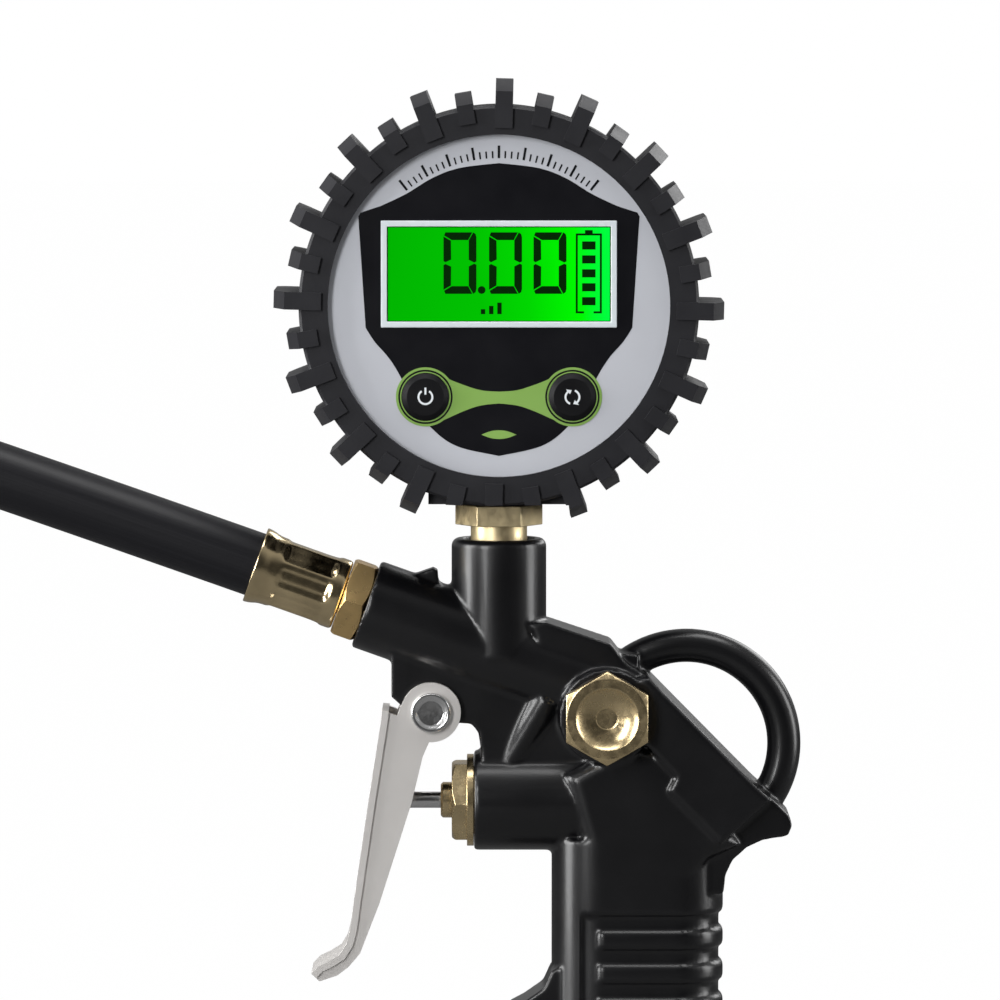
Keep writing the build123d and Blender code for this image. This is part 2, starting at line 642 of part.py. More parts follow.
def hose_barb(hex_low, tail_start, tail_end, thread_low):
    """Threaded brass fitting with a hexagon and a barbed tail."""
    bore = 2.0
    profile = [(bore, thread_low), (4.9, thread_low), (4.9, hex_low), (4.9, tail_start - 2.0),
               (HOSE_BORE + 0.7, tail_start - 1.9), (HOSE_BORE, tail_start - 0.5)]
    profile += [(HOSE_BORE, tail_end - 1.0), (HOSE_BORE - 0.5, tail_end), (bore, tail_end)]
    return turned(*profile)


def hose_fitting():
    tail = hose_barb(0, 5.7, 20.0, -11)
    nut = chamfered_hexagon(HEX_SMALL, 0, 4.6, turn=0) - rod(4.0, -1, 5)
    return BARREL * (tail + nut)


def hose_ferrule():
    return BARREL * crimped_ferrule(4.7, 4.7 + FERRULE_LENGTH, HOSE_BORE + 0.75)


def hose_radii():
    radii = []
    for index in range(1, len(HOSE_RUNS)):
        turn = HOSE_RUNS[index][0] - HOSE_RUNS[index - 1][0]
        shorter = min(HOSE_RUNS[index][1], HOSE_RUNS[index - 1][1])
        radii.append(0.45 * shorter / math.tan(math.radians(turn / 2)))
    return radii


def hose():
    """The free hose, squeezed under each ferrule."""
    points = [(x, 0, z) for x, z in ROUTE]
    path = FilletPolyline(*points, radius=hose_radii())
    wall = Plane(origin=path @ 0, z_dir=path % 0)
    full = sweep(wall * Circle(HOSE_RADIUS - 0.02), path=path)
    bore = sweep(wall * Circle(HOSE_BORE), path=path)
    squeeze = FERRULE_LENGTH - 4.2
    start = BARREL * Pos(0, 0, HOSE_START) * (rod(9, -1, squeeze) - rod(5.65, -2, squeeze + 1))
    end = CHUCK * (rod(9, -squeeze, 1) - rod(5.65, -squeeze - 1, 2))
    print("hose length", round(path.length, 2), "radii", [round(r, 1) for r in hose_radii()])
    section = math.pi * ((HOSE_RADIUS - 0.02) ** 2 - HOSE_BORE ** 2)
    tube_solid = full - bore
    print("hose tube volume", round(tube_solid.volume, 1), "section x length", round(section * path.length, 1))
    return tube_solid - start - end


# --- tyre chuck: local +Z leaves the hose and points down --------------------------------

CHUCK_TOP = 6.2
CHUCK_LENGTH = 33.0
CHUCK_MOUTH = CHUCK_TOP + CHUCK_LENGTH
SOCKET_DEPTH = 11.0
LEVER_PIVOT = (13.2, CHUCK_TOP + 17.0)


def chuck_ferrule():
    flip = CHUCK * Rot(180, 0, 0)
    return flip * Pos(0, 0, -1.0) * crimped_ferrule(0, FERRULE_LENGTH, HOSE_BORE + 0.75)


def chuck_fitting():
    flip = CHUCK * Rot(180, 0, 0)
    tail = Pos(0, 0, -5.7) * hose_barb(0, 5.7, 20.0, -9)
    nut = chamfered_hexagon(HEX_SMALL, -5.7, -1.9) - rod(4.0, -7, 0)
    return flip * (tail + nut)


def chuck_body():
    top = CHUCK_TOP - 0.5
    shape = turned((4.9, top), (7.2, top), (CHUCK_RADIUS, top + 1.8), (CHUCK_RADIUS, CHUCK_MOUTH - 1.5),
                   (CHUCK_RADIUS - 1.5, CHUCK_MOUTH), (TYRE_VALVE_RADIUS + 1.0, CHUCK_MOUTH),
                   (TYRE_VALVE_RADIUS, CHUCK_MOUTH - 1.0), (TYRE_VALVE_RADIUS, CHUCK_MOUTH - SOCKET_DEPTH),
                   (6.0, CHUCK_MOUTH - SOCKET_DEPTH), (6.0, CHUCK_MOUTH - SOCKET_DEPTH - 6.0),
                   (2.0, CHUCK_MOUTH - SOCKET_DEPTH - 6.0), (2.0, top + 10), (4.9, top + 10))
    for ring_height in (top + 5, top + 7.2, top + 9.4):
        shape -= tube(CHUCK_RADIUS + 1, CHUCK_RADIUS - 0.5, ring_height, ring_height + 1.0)
    ears = block((5, 13.2), (-5.2, 5.2), (LEVER_PIVOT[1] - 3, LEVER_PIVOT[1] + 3))
    ears += Pos(LEVER_PIVOT[0], 0, LEVER_PIVOT[1]) * Rot(90, 0, 0) * Cylinder(3.0, 10.4)
    ears -= block((CHUCK_RADIUS - 0.2, 20), (-3.2, 3.2), (0, 60))
    ears -= rod(7.0, 0, 60)
    shape += ears
    jaw_slot = block((0, 12), (-2.4, 2.4), (CHUCK_MOUTH - 6.4, CHUCK_MOUTH + 1))
    shape -= jaw_slot
    shape -= Pos(LEVER_PIVOT[0], 0, LEVER_PIVOT[1]) * Rot(90, 0, 0) * Cylinder(1.25, 30)
    return CHUCK * shape


def chuck_seal():
    top = CHUCK_MOUTH - SOCKET_DEPTH - 3.5
    return CHUCK * tube(6.0, 2.4, top, CHUCK_MOUTH - SOCKET_DEPTH)


def chuck_depressor():
    """Four-legged pin that opens the tyre valve's core."""
    top = CHUCK_MOUTH - SOCKET_DEPTH - 6.0
    disc = rod(6.0, top, top + 2.5)
    for turn in range(4):
        disc -= Rot(0, 0, 45 + 90 * turn) * Pos(3.6, 0, 0) * rod(1.3, top - 1, top + 4)
    return CHUCK * (disc + rod(1.2, top + 2.4, CHUCK_MOUTH - SOCKET_DEPTH - 0.1))


def chuck_lever():
    """Pressed steel thumb lever with a jaw that grips the tyre valve's thread."""
    x, z = LEVER_PIVOT
    low = CHUCK_MOUTH
    arm = slab([(x - 1.4, z - 2.6), (x + 3.4, z - 6), (x + 8.4, z - 19), (x + 9.8, z - 24),
                  (x + 11.0, z - 23.6), (x + 9.8, z - 18.6), (x + 5.2, z - 6), (x + 2.7, z - 0.2),
                  (x + 1.6, z + 3), (x - 0.2, low - 5.4), (x - 0.4, low - 2.0), (TYRE_VALVE_RADIUS + 0.9, low - 2.0),
                  (TYRE_VALVE_RADIUS + 0.2, low - 2.8), (TYRE_VALVE_RADIUS + 0.2, low - 3.2),
                  (TYRE_VALVE_RADIUS + 0.9, low - 4.0), (x - 2.0, low - 4.2), (x - 2.4, z + 3)], 2.0)
    knuckle = Pos(x, 0, z) * Rot(90, 0, 0) * Cylinder(2.7, 4.0)
    thumb = slab([(x + 4.2, z - 8), (x + 8.4, z - 19), (x + 9.8, z - 24), (x + 11.0, z - 23.6),
                  (x + 9.8, z - 18.6), (x + 5.6, z - 7.6)], 5.0)
    solid = arm + knuckle + thumb
    solid -= Pos(x, 0, z) * Rot(90, 0, 0) * Cylinder(1.25 + FIT, 30)
    return CHUCK * solid


def chuck_lever_pin():
    x, z = LEVER_PIVOT
    return CHUCK * (Pos(x, 0, z) * Rot(90, 0, 0) * Cylinder(1.25, 11.2))


def chuck_lever_spring():
    """Leaf spring between the chuck and the thumb lever."""
    x, z = LEVER_PIVOT
    leaf = slab([(CHUCK_RADIUS, z - 15.4), (CHUCK_RADIUS + 0.5, z - 15.4), (CHUCK_RADIUS + 0.7, z - 8),
                 (x + 2.9, z - 5.9), (x + 2.5, z - 5.5), (CHUCK_RADIUS + 0.1, z - 7.4), (CHUCK_RADIUS, z - 8)], 1.6)
    return CHUCK * leaf


# --- write every piece ------------------------------------------------------------------

PIECES = {
    "body_casting": body_casting,
    "inlet_plug": inlet_plug,
    "inlet_seal": inlet_seal,
    "inlet_screen": inlet_screen,
    "valve_gland_nut": valve_gland_nut,
    "gland_seal": gland_seal,
    "stem_bush": stem_bush,
    "stem_o_ring": stem_o_ring,
    "valve_spacer": valve_spacer,
    "valve_seat": valve_seat,
    "valve_stem": valve_stem,
    "poppet_seal": poppet_seal,
    "valve_poppet": valve_poppet,
    "valve_spring": valve_spring,
    "side_plug": side_plug,
    "side_plug_seal": side_plug_seal,
    "trigger": trigger,
    "trigger_rivet": trigger_rivet,
    "gauge_boot": gauge_boot,
    "gauge_case": gauge_case,
    "case_seal": case_seal,
    "case_screws": case_screws,
    "face_plate": face_plate,
    "lcd_frame": lcd_frame,
    "lcd_glass": lcd_glass,
    "backlight": backlight,
    "circuit_board": circuit_board,
    "power_button": lambda: button(0),
    "function_button": lambda: button(1),
    "button_switches": button_switches,
    "pressure_sensor": pressure_sensor,
    "sensor_gasket": sensor_gasket,
    "gauge_stem": gauge_stem,
    "gauge_stem_seal": gauge_stem_seal,
    "gauge_stem_nut": gauge_stem_nut,
    "batteries": batteries,
    "battery_contacts": battery_contacts,
    "battery_door": battery_door,
    "door_screws": door_screws,
    "hose_fitting": hose_fitting,
    "hose_ferrule": hose_ferrule,
    "hose": hose,
    "chuck_ferrule": chuck_ferrule,
    "chuck_fitting": chuck_fitting,
    "chuck_body": chuck_body,
    "chuck_seal": chuck_seal,
    "chuck_depressor": chuck_depressor,
    "chuck_lever": chuck_lever,
    "chuck_lever_pin": chuck_lever_pin,
    "chuck_lever_spring": chuck_lever_spring,
}


def main():
    os.makedirs("parts", exist_ok=True)
    for name, make in PIECES.items():
        piece = make()
        if isinstance(piece, list):
            piece = Compound(children=piece)
        piece.label = name
        export_step(piece, f"parts/{name}.step")


main()
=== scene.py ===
import json
import math

import bmesh
import bpy
from mathutils import Matrix, Vector


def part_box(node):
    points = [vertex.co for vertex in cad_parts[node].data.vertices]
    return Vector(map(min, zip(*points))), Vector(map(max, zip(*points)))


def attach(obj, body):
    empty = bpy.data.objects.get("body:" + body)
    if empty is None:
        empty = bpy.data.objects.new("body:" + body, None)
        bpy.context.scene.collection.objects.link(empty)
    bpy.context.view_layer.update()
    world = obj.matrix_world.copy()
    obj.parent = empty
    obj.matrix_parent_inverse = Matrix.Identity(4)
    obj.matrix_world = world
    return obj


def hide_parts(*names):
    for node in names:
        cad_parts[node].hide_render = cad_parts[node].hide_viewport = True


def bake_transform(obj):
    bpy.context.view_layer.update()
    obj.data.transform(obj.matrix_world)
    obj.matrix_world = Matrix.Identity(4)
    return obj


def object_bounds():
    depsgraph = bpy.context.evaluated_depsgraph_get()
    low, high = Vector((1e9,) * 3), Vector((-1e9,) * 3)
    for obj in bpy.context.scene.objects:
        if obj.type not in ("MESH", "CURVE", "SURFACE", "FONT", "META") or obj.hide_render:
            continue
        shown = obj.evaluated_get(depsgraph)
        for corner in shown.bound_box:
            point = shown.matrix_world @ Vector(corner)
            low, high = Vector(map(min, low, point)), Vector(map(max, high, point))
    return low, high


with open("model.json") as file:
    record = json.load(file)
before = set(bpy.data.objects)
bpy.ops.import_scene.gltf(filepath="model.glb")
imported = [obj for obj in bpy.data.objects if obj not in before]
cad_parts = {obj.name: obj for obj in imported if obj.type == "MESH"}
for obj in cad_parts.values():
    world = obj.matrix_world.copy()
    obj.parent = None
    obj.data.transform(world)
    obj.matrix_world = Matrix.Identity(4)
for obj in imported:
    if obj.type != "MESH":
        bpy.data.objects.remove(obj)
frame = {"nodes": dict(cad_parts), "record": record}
cad_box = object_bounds()

MM = 0.001
HOUSING = "housing"

# --- places read from the frame --------------------------------------------------

plate_low, plate_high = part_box("face_plate")
FACE_CENTRE = (plate_low + plate_high) / 2
FACE_Y = plate_low.y
glass_low, glass_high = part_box("lcd_glass")
SLOTS = {entry["node"]: entry["material_slot"] for entry in frame["record"]["subparts"]}
NODE_BODY = {
    node: body
    for body, nodes in frame["record"]["behaviour"]["bodies"].items()
    for node in nodes
}


# --- camera ------------------------------------------------------------------------

SENSOR_WIDTH = 36.0
CAMERA_DISTANCE = 1.3
VIEW_WIDTH = 0.1845
VIEW_CENTRE = Vector((-0.0254, 0.0, 0.1742))
ELEVATION = math.radians(4.0)

camera_data = bpy.data.cameras.new("camera")
camera_data.sensor_width = SENSOR_WIDTH
camera_data.lens = SENSOR_WIDTH * CAMERA_DISTANCE / VIEW_WIDTH
camera_data.clip_start = 0.01
camera = bpy.data.objects.new("camera", camera_data)
bpy.context.scene.collection.objects.link(camera)
offset = Vector((0, -math.cos(ELEVATION), math.sin(ELEVATION)))
camera.location = VIEW_CENTRE + offset * CAMERA_DISTANCE
camera.rotation_euler = (-offset).to_track_quat("-Z", "Y").to_euler()
bpy.context.scene.camera = camera


# --- material helpers -----------------------------------------------------------------

class Nodes:
    """A node tree being built for one material."""

    def __init__(self, name):
        self.material = bpy.data.materials.new(name)
        self.material.use_nodes = True
        self.tree = self.material.node_tree
        self.shader = self.tree.nodes["Principled BSDF"]

    def add(self, kind, **values):
        node = self.tree.nodes.new(kind)
        for key, value in values.items():
            if key in node.inputs.keys():
                node.inputs[key].default_value = value
            else:
                setattr(node, key, value)
        return node

    def link(self, source, target):
        self.tree.links.new(source, target)

    def coordinates(self, stretch=(1, 1, 1), kind="Object"):
        source = self.add("ShaderNodeTexCoord")
        mapping = self.add("ShaderNodeMapping", Scale=stretch)
        self.link(source.outputs[kind], mapping.inputs["Vector"])
        return mapping.outputs["Vector"]

    def noise(self, coordinates, scale, detail=3.0, roughness=0.5):
        node = self.add("ShaderNodeTexNoise", Scale=scale, Detail=detail, Roughness=roughness)
        self.link(coordinates, node.inputs["Vector"])
        return node.outputs["Fac"]

    def spread(self, value, low, high, start=0.3, end=0.7):
        node = self.add("ShaderNodeMapRange")
        node.inputs["From Min"].default_value = start
        node.inputs["From Max"].default_value = end
        node.inputs["To Min"].default_value = low
        node.inputs["To Max"].default_value = high
        self.link(value, node.inputs["Value"])
        return node.outputs["Result"]

    def blend_colours(self, factor, first, second):
        node = self.add("ShaderNodeMix", data_type="RGBA")
        node.inputs["A"].default_value = (*first, 1)
        node.inputs["B"].default_value = (*second, 1)
        self.link(factor, node.inputs["Factor"])
        return node.outputs["Result"]

    def bump(self, height, distance, strength=1.0, normal=None):
        node = self.add("ShaderNodeBump", Strength=strength, Distance=distance)
        self.link(height, node.inputs["Height"])
        if normal is not None:
            self.link(normal, node.inputs["Normal"])
        return node.outputs["Normal"]

    def set(self, **values):
        names = {
            "colour": "Base Color", "metal": "Metallic", "rough": "Roughness",
            "coat": "Coat Weight", "coat_rough": "Coat Roughness", "sheen": "Sheen Weight",
            "normal": "Normal", "specular": "Specular IOR Level",
            "glow": "Emission Color", "glow_strength": "Emission Strength",
        }
        for key, value in values.items():
            socket = self.shader.inputs[names[key]]
            if isinstance(value, bpy.types.NodeSocket):
                self.link(value, socket)
            elif isinstance(value, tuple) and len(value) == 3:
                socket.default_value = (*value, 1)
            else:
                socket.default_value = value
        return self.material


def shades(colour, amount):
    """Two versions of a colour, one darker and one lighter."""
    dark = tuple(max(0.0, c * (1 - amount)) for c in colour)
    light = tuple(min(1.0, c * (1 + amount)) for c in colour)
    return dark, light


def coated_casting():
    """Satin black coat with a fine orange peel."""
    n = Nodes("black_coat")
    place = n.coordinates()
    broad = n.noise(place, 90)
    peel = n.noise(place, 900, detail=2)
    fine = n.noise(place, 2600, detail=2)
    colour = n.blend_colours(broad, *shades((0.003, 0.003, 0.0038), 0.3))
    height = n.bump(peel, 0.000018, 0.4)
    height = n.bump(fine, 0.000004, 0.4, height)
    return n.set(colour=colour, rough=n.spread(broad, 0.28, 0.34), normal=height, specular=0.5,
                 coat=0.1, coat_rough=0.12)


TARNISH = 0.72


def brass(name="brass", colour=(0.80, 0.63, 0.36), rough=(0.2, 0.32), bump=0.5):
    """Bare brass with tool marks, small dents and darker tarnish in patches."""
    n = Nodes(name)
    place = n.coordinates()
    patches = n.noise(place, 160, detail=4)
    marks = n.noise(place, 700, detail=4)
    dents = n.noise(place, 1700, detail=2)
    dark = tuple(channel * TARNISH for channel in colour)
    shade = n.blend_colours(n.spread(patches, 0, 1), dark, colour)
    normal = n.bump(marks, 0.00004, bump)
    normal = n.bump(dents, 0.00002, bump, normal)
    return n.set(colour=shade, metal=1.0, rough=n.spread(marks, *rough), normal=normal)


def steel(name, colour, rough, lines=(1, 1, 1), bump=0.25, metal=1.0):
    """Plated or bright steel with fine rolling lines."""
    n = Nodes(name)
    marks = n.noise(n.coordinates(lines), 1500, detail=3)
    patches = n.noise(n.coordinates(), 120)
    shade = n.blend_colours(patches, *shades(colour, 0.07))
    return n.set(colour=shade, metal=metal, rough=n.spread(marks, *rough),
                 normal=n.bump(marks, 0.00002, bump))


def moulded(name, colour, rough=(0.5, 0.62), grain=1800, depth=0.00002, vary=0.15,
            sheen=0.0, specular=0.5):
    """Moulded rubber or plastic with a fine matt grain."""
    n = Nodes(name)
    place = n.coordinates()
    texture = n.noise(place, grain, detail=2)
    broad = n.noise(place, 140, detail=3)
    shade = n.blend_colours(broad, *shades(colour, vary))
    return n.set(colour=shade, rough=n.spread(broad, *rough), normal=n.bump(texture, depth, 0.5),
                 sheen=sheen, specular=specular)


def hose_rubber():
    """Extruded hose cover with faint streaks along its length."""
    n = Nodes("hose_rubber")
    streak_place = n.coordinates((1.2, 26, 1), kind="UV")
    streaks = n.noise(streak_place, 6, detail=4, roughness=0.6)
    speckle = n.noise(n.coordinates(), 2200, detail=2)
    shade = n.blend_colours(n.spread(streaks, 0, 1),
                            (0.0045, 0.0045, 0.006), (0.009, 0.009, 0.0115))
    normal = n.bump(streaks, 0.00005, 0.5)
    normal = n.bump(speckle, 0.00001, 0.4, normal)
    return n.set(colour=shade, rough=n.spread(streaks, 0.34, 0.48), normal=normal,
                 specular=0.3)


GLOW_STOPS = [
    (0.0, (0.0, 0.44, 0.0)),
    (0.4, (0.0, 0.52, 0.0)),
    (0.62, (0.0, 0.66, 0.0)),
    (0.84, (0.0, 0.93, 0.0)),
    (1.0, (0.0, 0.96, 0.06)),
]


def display_green():
    """Backlit display: bright at the right edge, falling off to the left."""
    n = Nodes("display_green")
    source = n.add("ShaderNodeTexCoord")
    split = n.add("ShaderNodeSeparateXYZ")
    n.link(source.outputs["Object"], split.inputs["Vector"])
    across = n.spread(split.outputs["X"], 0, 1, glass_low.x, glass_high.x)
    cloud = n.noise(n.coordinates(), 60, detail=1)
    ramp = n.add("ShaderNodeValToRGB")
    while len(ramp.color_ramp.elements) < len(GLOW_STOPS):
        ramp.color_ramp.elements.new(0.5)
    for element, (place, colour) in zip(ramp.color_ramp.elements, GLOW_STOPS):
        element.position = place
        element.color = (*colour, 1)
    sum_node = n.add("ShaderNodeMath", operation="ADD")
    n.link(across, sum_node.inputs[0])
    n.link(n.spread(cloud, -0.03, 0.03), sum_node.inputs[1])
    n.link(sum_node.outputs[0], ramp.inputs["Fac"])
    return n.set(colour=(0.0, 0.02, 0.0), glow=ramp.outputs["Color"], glow_strength=1.0,
                 rough=0.25, specular=0.05)


FINE_GRAIN = 2500
FINE_DEPTH = 0.000004


def printing(name, colour, rough, vary=0.15, specular=0.5):
    """Smooth ink or gloss plastic: the finest grain, hardly raised."""
    return moulded(name, colour, rough, FINE_GRAIN, FINE_DEPTH, vary, specular=specular)


MATERIALS = {
    "black_coated_casting": coated_casting(),
    "brass": brass(),
    "plated_steel": steel("satin_nickel", (0.90, 0.87, 0.84), (0.3, 0.4), (4, 4, 0.5), 0.4, 0.6),
    "steel": steel("bright_steel", (0.72, 0.72, 0.72), (0.16, 0.26)),
    "boot_rubber": moulded("boot_rubber", (0.0115, 0.0115, 0.0145), (0.44, 0.54),
                           sheen=0.02, specular=0.36),
    "hose_rubber": hose_rubber(),
    "seal_rubber": moulded("seal_rubber", (0.02, 0.02, 0.02), (0.5, 0.6)),
    "case_plastic": moulded("case_plastic", (0.018, 0.018, 0.02), (0.42, 0.5), grain=1300),
    "face_silver": moulded("face_silver", (0.56, 0.575, 0.62), (0.34, 0.4), grain=FINE_GRAIN,
                           depth=0.000006, vary=0.03),
    "white_plastic": printing("white_plastic", (0.72, 0.78, 0.81), (0.25, 0.32), vary=0.02),
    "display_green": display_green(),
    "button_black": moulded("button_black", (0.004, 0.004, 0.005), (0.4, 0.5), grain=2000,
                            depth=0.00001, specular=0.2),
    "board_green": moulded("board_green", (0.02, 0.16, 0.06), (0.35, 0.5)),
    "cell_wrap": moulded("cell_wrap", (0.10, 0.11, 0.4), (0.25, 0.35)),
}
FERRULE_BRASS = brass("ferrule_brass", (0.86, 0.69, 0.41), (0.12, 0.2), 0.25)
NUT_BRASS = brass("nut_brass", (0.80, 0.56, 0.25), (0.26, 0.4), 0.7)
STEM_BRASS = brass("stem_brass", (0.97, 0.80, 0.48), (0.34, 0.5), 0.9)
PRINT_BLACK = printing("print_black", (0.0035, 0.0035, 0.0055), (0.3, 0.36), specular=0.3)
PRINT_GREEN = printing("print_green", (0.245, 0.435, 0.095), (0.34, 0.42), vary=0.06)
PRINT_WHITE = printing("print_white", (0.8, 0.84, 0.87), (0.35, 0.4), vary=0.03)
SEGMENT = printing("segment", (0.0, 0.020, 0.0), (0.3, 0.36), specular=0.1)


def dress(obj, material):
    obj.data.materials.clear()
    obj.data.materials.append(material)


def new_piece(name, mesh, material, body=HOUSING):
    obj = bpy.data.objects.new(name, mesh)
    bpy.context.scene.collection.objects.link(obj)
    dress(obj, material)
    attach(obj, body)
    return obj


# --- hose -------------------------------------------------------------------------------

HOSE_DIAMETER = 12.0 * MM
# the middle of the barrel's end face (x, z) in millimetres, and the way its axis points
BARREL_FACE = (-50.1, 155.0)
BARREL_TURN = 180 - 19.6
# where the hose starts in its ferrule, then the runs that steer its curve: degrees, millimetres
HOSE_START = 5.7
HOSE_RUNS = [(160.4, 62.0), (161.6, 75.0), (200.0, 90.0), (240.0, 90.0), (270.0, 85.0)]


def further(place, degrees, length):
    """The point (x, z) that lies length millimetres from place, degrees up from +x."""
    turn = math.radians(degrees)
    return place[0] + length * math.cos(turn), place[1] + length * math.sin(turn)


def hose_points():
    points = [further(BARREL_FACE, BARREL_TURN, HOSE_START)]
    for degrees, length in HOSE_RUNS:
        points.append(further(points[-1], degrees, length))
    return [Vector((x * MM, 0, z * MM)) for x, z in points]


def build_hose():
    points = hose_points()
    curve = bpy.data.curves.new("hose_cover", "CURVE")
    curve.dimensions = "3D"
    curve.bevel_depth = HOSE_DIAMETER / 2
    curve.bevel_resolution = 12
    curve.resolution_u = 24
    curve.use_fill_caps = True
    spline = curve.splines.new("NURBS")
    spline.points.add(len(points) - 1)
    for target, point in zip(spline.points, points):
        target.co = (*point, 1.0)
    spline.order_u = 3
    spline.use_endpoint_u = True
    piece = bpy.data.objects.new("hose_cover", curve)
    bpy.context.scene.collection.objects.link(piece)
    curve.materials.append(MATERIALS["hose_rubber"])
    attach(piece, HOUSING)
    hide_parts("hose")


build_hose()


# --- CAD nodes keep their shape and get their materials ---------------------------------

for node, obj in frame["nodes"].items():
    dress(obj, MATERIALS[SLOTS[node]])
for node in ("hose_ferrule", "chuck_ferrule"):
    dress(frame["nodes"][node], FERRULE_BRASS)
for node in ("hose_fitting", "chuck_fitting"):
    dress(frame["nodes"][node], NUT_BRASS)
dress(frame["nodes"]["gauge_stem"], STEM_BRASS)


# --- casting: the CAD body with its cast roundings ------------------------------------------

CAST_SLOT = "black_coated_casting"
# the edges are softened by a fine remesh and a few smoothing passes, then the mesh is thinned
CAST_CELL = 0.42 * MM
CAST_PASSES = 4
CAST_KEEP = 0.36


def apply_modifiers(obj):
    graph = bpy.context.evaluated_depsgraph_get()
    mesh = bpy.data.meshes.new_from_object(obj.evaluated_get(graph))
    old = obj.data
    obj.modifiers.clear()
    obj.data = mesh
    bpy.data.meshes.remove(old)


def build_casting():
    node = frame["nodes"]["body_casting"]
    piece = new_piece("casting", node.data.copy(), MATERIALS[CAST_SLOT])
    remesh = piece.modifiers.new("remesh", "REMESH")
    remesh.mode = "VOXEL"
    remesh.voxel_size = CAST_CELL
    remesh.use_smooth_shade = True
    smooth = piece.modifiers.new("smooth", "SMOOTH")
    smooth.factor = 0.5
    smooth.iterations = CAST_PASSES
    thin = piece.modifiers.new("thin", "DECIMATE")
    thin.ratio = CAST_KEEP
    apply_modifiers(piece)
    dress(piece, MATERIALS[CAST_SLOT])
    piece.data.shade_smooth()
    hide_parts("body_casting")


build_casting()


# --- bare metal and rubber pieces: the CAD shape with its edges broken ----------------------

WELD = 0.004 * MM
FLAT_ANGLE = math.radians(0.6)
SHARP_ANGLE = math.radians(28)


def rounded(node, width):
    """A copy of a CAD node with every sharp edge rounded over by width millimetres."""
    source = frame["nodes"][node]
    mesh = bmesh.new()
    mesh.from_mesh(source.data)
    bmesh.ops.remove_doubles(mesh, verts=mesh.verts, dist=WELD)
    bmesh.ops.dissolve_limit(mesh, angle_limit=FLAT_ANGLE, verts=mesh.verts, edges=mesh.edges)
    copy = bpy.data.meshes.new(node + "_rounded")
    mesh.to_mesh(copy)
    mesh.free()
    material = source.data.materials[0]
    piece = new_piece(node + "_rounded", copy, material, NODE_BODY[node])
    bevel = piece.modifiers.new("edges", "BEVEL")
    bevel.width = width * MM
    bevel.segments = 2
    bevel.limit_method = "ANGLE"
    bevel.angle_limit = SHARP_ANGLE
    piece.data.shade_smooth()
    weighted = piece.modifiers.new("normals", "WEIGHTED_NORMAL")
    weighted.keep_sharp = False
    apply_modifiers(piece)
    dress(piece, material)
    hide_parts(node)


ROUNDINGS = {
    "trigger": 0.35, "trigger_rivet": 0.12, "valve_gland_nut": 0.16, "hose_fitting": 0.16,
    "gauge_stem": 0.16, "side_plug": 0.22, "gauge_boot": 0.28, "lcd_frame": 0.16,
    "inlet_plug": 0.12, "chuck_fitting": 0.16, "chuck_body": 0.2, "chuck_lever": 0.2,
    "battery_door": 0.15,
}
for node_name, edge in ROUNDINGS.items():
    rounded(node_name, edge)


# --- hose ferrule: crimped flutes and a belled mouth --------------------------------------------

# all in millimetres, measured along the hose from the barrel's end face
FERRULE_NEAR = 4.7
FERRULE_RADIUS = 6.6
FERRULE_WAIST = 6.5
WAIST_REACH = 3.0
FLUTES = 8
FLUTE_SIDES = 16
FLUTE_DEPTH = 0.4
FLUTE_NEAR = 6.6
FLUTE_FAR = 17.6
FLUTE_RUNOUT = 1.5
FLUTE_RINGS = 44
# the shoulder beside the nut and the belled mouth: distance and radius
SHOULDER = [(FERRULE_NEAR, 4.4), (FERRULE_NEAR, 6.1), (FERRULE_NEAR + 0.15, 6.4),
            (FERRULE_NEAR + 0.5, 6.58), (FERRULE_NEAR + 1.0, FERRULE_RADIUS),
            (FERRULE_NEAR + 1.5, FERRULE_RADIUS)]
MOUTH = [(18.2, 6.52), (18.8, 6.57), (19.4, 6.68), (20.0, 6.88), (20.6, 7.02), (21.2, 7.1),
         (21.55, 7.12), (21.7, 7.02), (21.65, 6.85), (21.2, 6.6), (20.2, 6.35), (19.0, 6.1),
         (18.0, 6.02), (18.0, 5.6)]


def smoothstep(value):
    value = max(0.0, min(1.0, value))
    return value * value * (3 - 2 * value)


def ferrule_profile():
    """Distance along the hose, radius and flute share, from the nut to the mouth."""
    rings = [(along, radius, 0) for along, radius in SHOULDER]
    for index in range(FLUTE_RINGS + 1):
        along = FLUTE_NEAR + (FLUTE_FAR - FLUTE_NEAR) * index / FLUTE_RINGS
        start = smoothstep((along - FLUTE_NEAR) / FLUTE_RUNOUT)
        end = smoothstep((FLUTE_FAR - along) / FLUTE_RUNOUT)
        narrowing = smoothstep((along - FLUTE_NEAR) / WAIST_REACH)
        waist = FERRULE_RADIUS - (FERRULE_RADIUS - FERRULE_WAIST) * narrowing
        rings.append((along, waist, start * end))
    return rings + [(along, radius, 0) for along, radius in MOUTH]


